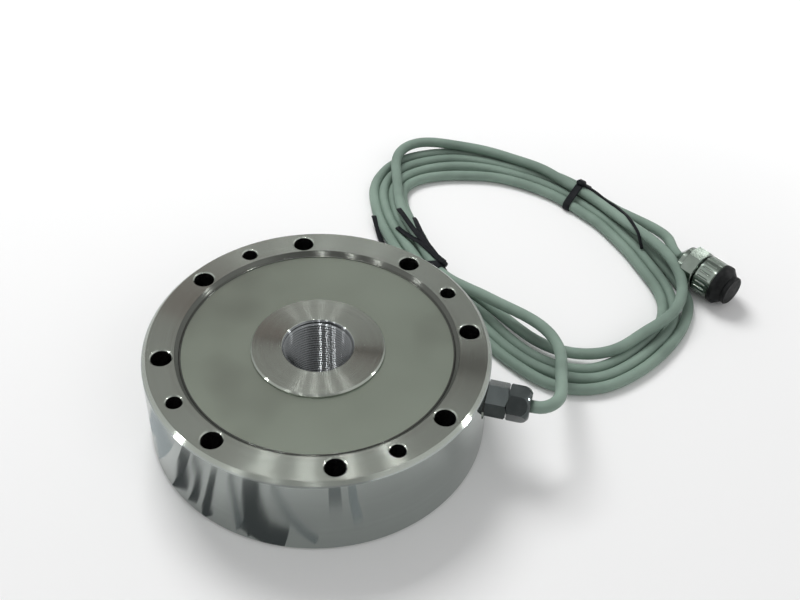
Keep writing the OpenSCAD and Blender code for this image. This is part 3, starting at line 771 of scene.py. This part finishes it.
def make_world():
    world = bpy.data.worlds.new("world")
    bpy.context.scene.world = world
    world.use_nodes = True
    tree = world.node_tree
    seen = node(tree, "ShaderNodeLightPath")
    sums = node(tree, "ShaderNodeMath", operation="ADD")
    tree.links.new(seen.outputs["Is Camera Ray"], sums.inputs[0])
    tree.links.new(seen.outputs["Is Glossy Ray"], sums.inputs[1])
    total = node(tree, "ShaderNodeMath", operation="ADD", use_clamp=True)
    tree.links.new(sums.outputs[0], total.inputs[0])
    tree.links.new(seen.outputs["Is Transmission Ray"], total.inputs[1])
    strength = node(tree, "ShaderNodeMix", data_type="FLOAT")
    strength.inputs[2].default_value = 0.47
    strength.inputs[3].default_value = 1.0
    tree.links.new(total.outputs[0], strength.inputs[0])
    back = tree.nodes["Background"]
    back.inputs["Color"].default_value = (1, 1, 1, 1)
    tree.links.new(strength.outputs[0], back.inputs["Strength"])


def area_light(name, place_at, target, size, power):
    data = bpy.data.lights.new(name, "AREA")
    data.shape = "RECTANGLE"
    data.size, data.size_y = size
    data.energy = power
    lamp = bpy.data.objects.new(name, data)
    bpy.context.scene.collection.objects.link(lamp)
    lamp.location = place_at
    lamp.rotation_mode = "QUATERNION"
    lamp.rotation_quaternion = (Vector(target) - Vector(place_at)).to_track_quat("-Z", "Y")
    return lamp


make_floor()
make_world()
for soft in (area_light("key", (-0.5, 0.7, 1.1), (0.05, 0.05, 0), (0.6, 0.6), 13),
             area_light("fill", (0.9, -0.6, 0.9), (0.05, 0.05, 0), (0.8, 0.8), 2.5)):
    soft.visible_glossy = False


CAMERA_AT = np.array(bpy.context.scene.camera.matrix_world.translation)


def glint(point, normal, power, size=0.03, far=1.2):
    """A small lamp, for gloss only, that a facet with this normal mirrors into the camera."""
    point = np.array(point, float)
    view, normal = unit(CAMERA_AT - point), unit(np.array(normal, float))
    way = 2 * (view @ normal) * normal - view
    at = point + way * far
    lamp = area_light("glint", tuple(at), tuple(point), (size, size), power)
    lamp.visible_diffuse = False
    lamp.visible_camera = False


def on_ring(angle, radius, height=43):
    turn = math.radians(angle)
    return np.array([radius * math.cos(turn), radius * math.sin(turn), height]) * MM


def facet(angle, lean):
    """A normal at that angle round the axis; lean is how far it leans outward from upright."""
    turn, tip = math.radians(angle), math.radians(lean)
    return [math.sin(tip) * math.cos(turn), math.sin(tip) * math.sin(turn), math.cos(tip)]


# A row of small ceiling lamps draws the streaks, two at the sides make the bevels glint,
# and three draw the bands in the threaded bore. The last one lights the plug.
STREAK_ANGLES, BEVEL_ANGLES, BORE_ANGLES = (-93, -77.5, -62, -46), (-121, -19), (-100, -88, -75)
for angle in STREAK_ANGLES:
    glint(on_ring(angle, 22), facet(angle, 16), 0.75, size=0.01)
for angle in BEVEL_ANGLES:
    glint(on_ring(angle, 74), facet(angle, 45), 2, size=0.11)
for angle in BORE_ANGLES:
    glint(on_ring(angle + 180, 14.5, 36), facet(angle, 36), 1, size=0.04)
glint((0.165, 0.133, 0.02), (0, 0, 1), 0.08, size=0.05)


def flag(name, corners, grey, low_grey=None):
    """A card that only reflections see, from low_grey at its foot to grey at its top."""
    card = new_object(name, corners, [tuple(range(len(corners)))])
    tree, shader, material = new_material(name)
    shader.inputs["Base Color"].default_value = (0, 0, 0, 1)
    shader.inputs["Specular IOR Level"].default_value = 0
    shader.inputs["Emission Color"].default_value = (*grey, 1)
    shader.inputs["Emission Strength"].default_value = 1
    if low_grey:
        split = node(tree, "ShaderNodeSeparateXYZ")
        coordinates = node(tree, "ShaderNodeTexCoord").outputs["Generated"]
        tree.links.new(coordinates, split.inputs[0])
        fade = ramp(tree, split.outputs["Z"], [(0, low_grey), (1, grey)])
        tree.links.new(fade, shader.inputs["Emission Color"])
    card.data.materials.append(material)
    for kind in ("camera", "diffuse", "shadow", "transmission", "volume_scatter"):
        setattr(card, f"visible_{kind}", False)


def hung_flag(name, way, width, height, grey, low_grey=None, far=2):
    """A card that faces the sensor from that direction."""
    way = Vector(way).normalized()
    across = way.cross(Vector((0, 0, 1))).normalized()
    up = across.cross(way)
    middle = way * far
    flag(name, [middle + across * x * width / 2 + up * y * height / 2
                for x, y in ((-1, -1), (1, -1), (1, 1), (-1, 1))], grey, low_grey)


def mirror_flag(name, angle, radius, reach, width, grey, far=1.8):
    """A long card that shades one sector of the turned top faces.

    The sector lies at that angle and radius; reach is where the card starts and ends,
    counted from the direction that the faces mirror there."""
    at = on_ring(angle, radius)
    view = unit(CAMERA_AT - at)
    mirrored = view * [-1, -1, 1]
    outward = np.array([math.cos(math.radians(angle)), math.sin(math.radians(angle)), 0])
    ends = [at + unit(mirrored + outward * r) * far for r in reach]
    side = unit(np.cross(ends[1] - ends[0], mirrored)) * width / 2
    flag(name, [ends[0] - side, ends[1] - side, ends[1] + side, ends[0] + side], grey)


def floor_flag(name, line, width, grey):
    """A card strip on the floor beside the sensor: line is (angle, distance from the axis)."""
    points = [on_ring(angle, reach, 0.6) for angle, reach in line]
    ways = np.gradient(np.array(points), axis=0)
    across = np.cross(ways, [0, 0, 1])
    across /= np.linalg.norm(across, axis=1)[:, None]
    left = [p + a * width * MM / 2 for p, a in zip(points, across)]
    right = [p - a * width * MM / 2 for p, a in zip(points, across)]
    flag(name, left + right[::-1], grey)


hung_flag("back_card", (-0.14, 0.69, 0.69), 2.6, 1.8, (0.4, 0.4, 0.39), (0.82, 0.83, 0.82))
hung_flag("front_card", (0.12, -0.7, 0.7), 2.6, 2, (0.5, 0.5, 0.5), (0.42, 0.42, 0.42), far=2.3)
mirror_flag("dark_card", 8, 24, (-0.06, 0.5), 0.1, (0.08, 0.08, 0.08))
mirror_flag("warm_card", 156, 68, (-0.3, 0.35), 0.2, (0.3, 0.225, 0.215))
for i, (line, width, grey) in enumerate((
        ([(-160, 84), (-151, 88), (-141, 84)], 17, 0.5),
        ([(-133, 99), (-133, 90), (-129, 82), (-127, 77)], 9, 0.08),
        ([(-129, 99), (-124, 92), (-122, 85), (-120, 77)], 5, 0.08),
        ([(-118, 100), (-117, 89), (-115, 80), (-112, 76)], 5, 0.08),
        ([(-111, 104), (-106, 91), (-100, 78)], 4, 0.2),
        ([(-102, 108), (-100, 96), (-97, 87), (-93, 80)], 13, 0.08),
        ([(-100, 84), (-92, 81), (-84, 79)], 11, 0.08),
        ([(-93, 108), (-84, 90), (-74, 79)], 4, 0.25),
        ([(-67, 114), (-67, 97)], 9, 0.2),
        ([(-60, 112), (-60, 98), (-59, 87)], 6, 0.35))):
    floor_flag(f"floor_card_{i + 1}", line, width, (grey, grey * 1.08, grey * 1.12))

bpy.context.scene.view_settings.view_transform = "Standard"
